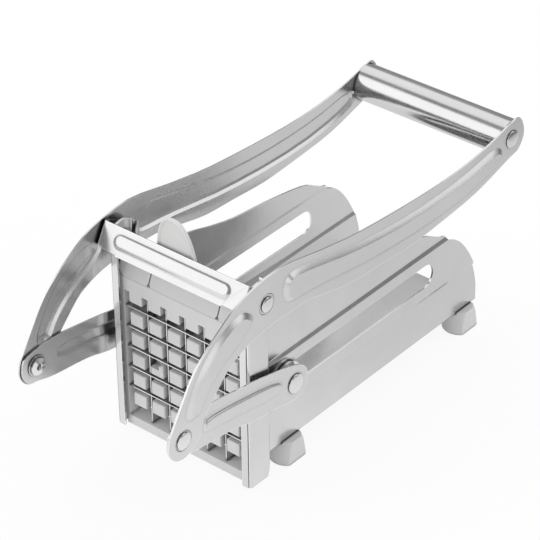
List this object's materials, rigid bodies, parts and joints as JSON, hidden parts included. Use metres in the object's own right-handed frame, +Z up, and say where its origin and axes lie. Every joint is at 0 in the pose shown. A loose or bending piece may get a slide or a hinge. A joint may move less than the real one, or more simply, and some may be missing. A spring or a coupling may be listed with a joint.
{
  "type": "french fry cutter",
  "caption": "Hand lever french fry cutter: a studded pusher slides in a sheet steel trough and presses a potato through a square blade grid.",
  "frame": {"origin": "centre of the outline seen from above, on the plane that the feet stand on", "axes": "+Z up, +Y from the blades towards the handle, +X towards the cutter's right side"},
  "size_m": [0.0974, 0.2739, 0.1391],
  "materials": {
    "sheet_steel": "satin",
    "handle_steel": "brushed round the tube",
    "bright_steel": "polished",
    "blade_steel": "ground",
    "light_plastic": "moulded, satin",
    "foot_rubber": "matt"
  },
  "bodies": {
    "base": {"trough": "sheet_steel", "front_frame": "sheet_steel", "blade_holder": "light_plastic", "vertical_blades": "blade_steel", "horizontal_blades": "blade_steel", "pivot_rivets": "bright_steel", "pivot_spacers": "bright_steel", "feet": "foot_rubber", "foot_screws": "bright_steel"},
    "lever": {"right_arm": "sheet_steel", "left_arm": "sheet_steel", "handle_tube": "handle_steel", "handle_plugs": "light_plastic", "handle_screws": "bright_steel", "crank_rivets": "bright_steel", "crank_washers": "bright_steel"},
    "right_link_body": {"right_link": "sheet_steel", "right_link_rivet": "bright_steel"},
    "left_link_body": {"left_link": "sheet_steel", "left_link_rivet": "bright_steel"},
    "pusher": {"pusher_plate": "light_plastic", "pusher_carrier": "sheet_steel", "carrier_screws": "bright_steel", "cross_axle": "bright_steel", "axle_sleeves": "light_plastic", "slot_rollers": "light_plastic", "guide_washers": "bright_steel", "retaining_rings": "bright_steel"},
    "bar": {"locking_bar": "sheet_steel"}
  },
  "joints": [
    {"name": "lever_pivot", "type": "hinge", "parent": "base", "child": "lever", "pos_m": [0, -0.06709, 0.1087], "axis": [1, 0, 0], "range_deg": [0, 96]},
    {"name": "right_link_pivot", "type": "hinge", "parent": "lever", "child": "right_link_body", "pos_m": [0, -0.12671, 0.06538], "axis": [1, 0, 0], "range_deg": [-88.01, 0]},
    {"name": "left_link_pivot", "type": "hinge", "parent": "lever", "child": "left_link_body", "pos_m": [0, -0.12671, 0.06538], "axis": [1, 0, 0], "range_deg": [-88.01, 0]},
    {"name": "pusher_slide", "type": "slide", "parent": "base", "child": "pusher", "axis": [0, 1, 0], "range_m": [0, 0.11016]},
    {"name": "bar_pivot", "type": "hinge", "parent": "base", "child": "bar", "pos_m": [0, -0.06709, 0.1087], "axis": [1, 0, 0], "range_deg": [0, 50]}
  ],
  "couplings": [
    {"joint": "right_link_pivot", "follows": "lever_pivot", "ratio": -0.91663},
    {"joint": "left_link_pivot", "follows": "lever_pivot", "ratio": -0.91663},
    {"joint": "pusher_slide", "follows": "lever_pivot", "m_per_rad": 0.065741}
  ]
}
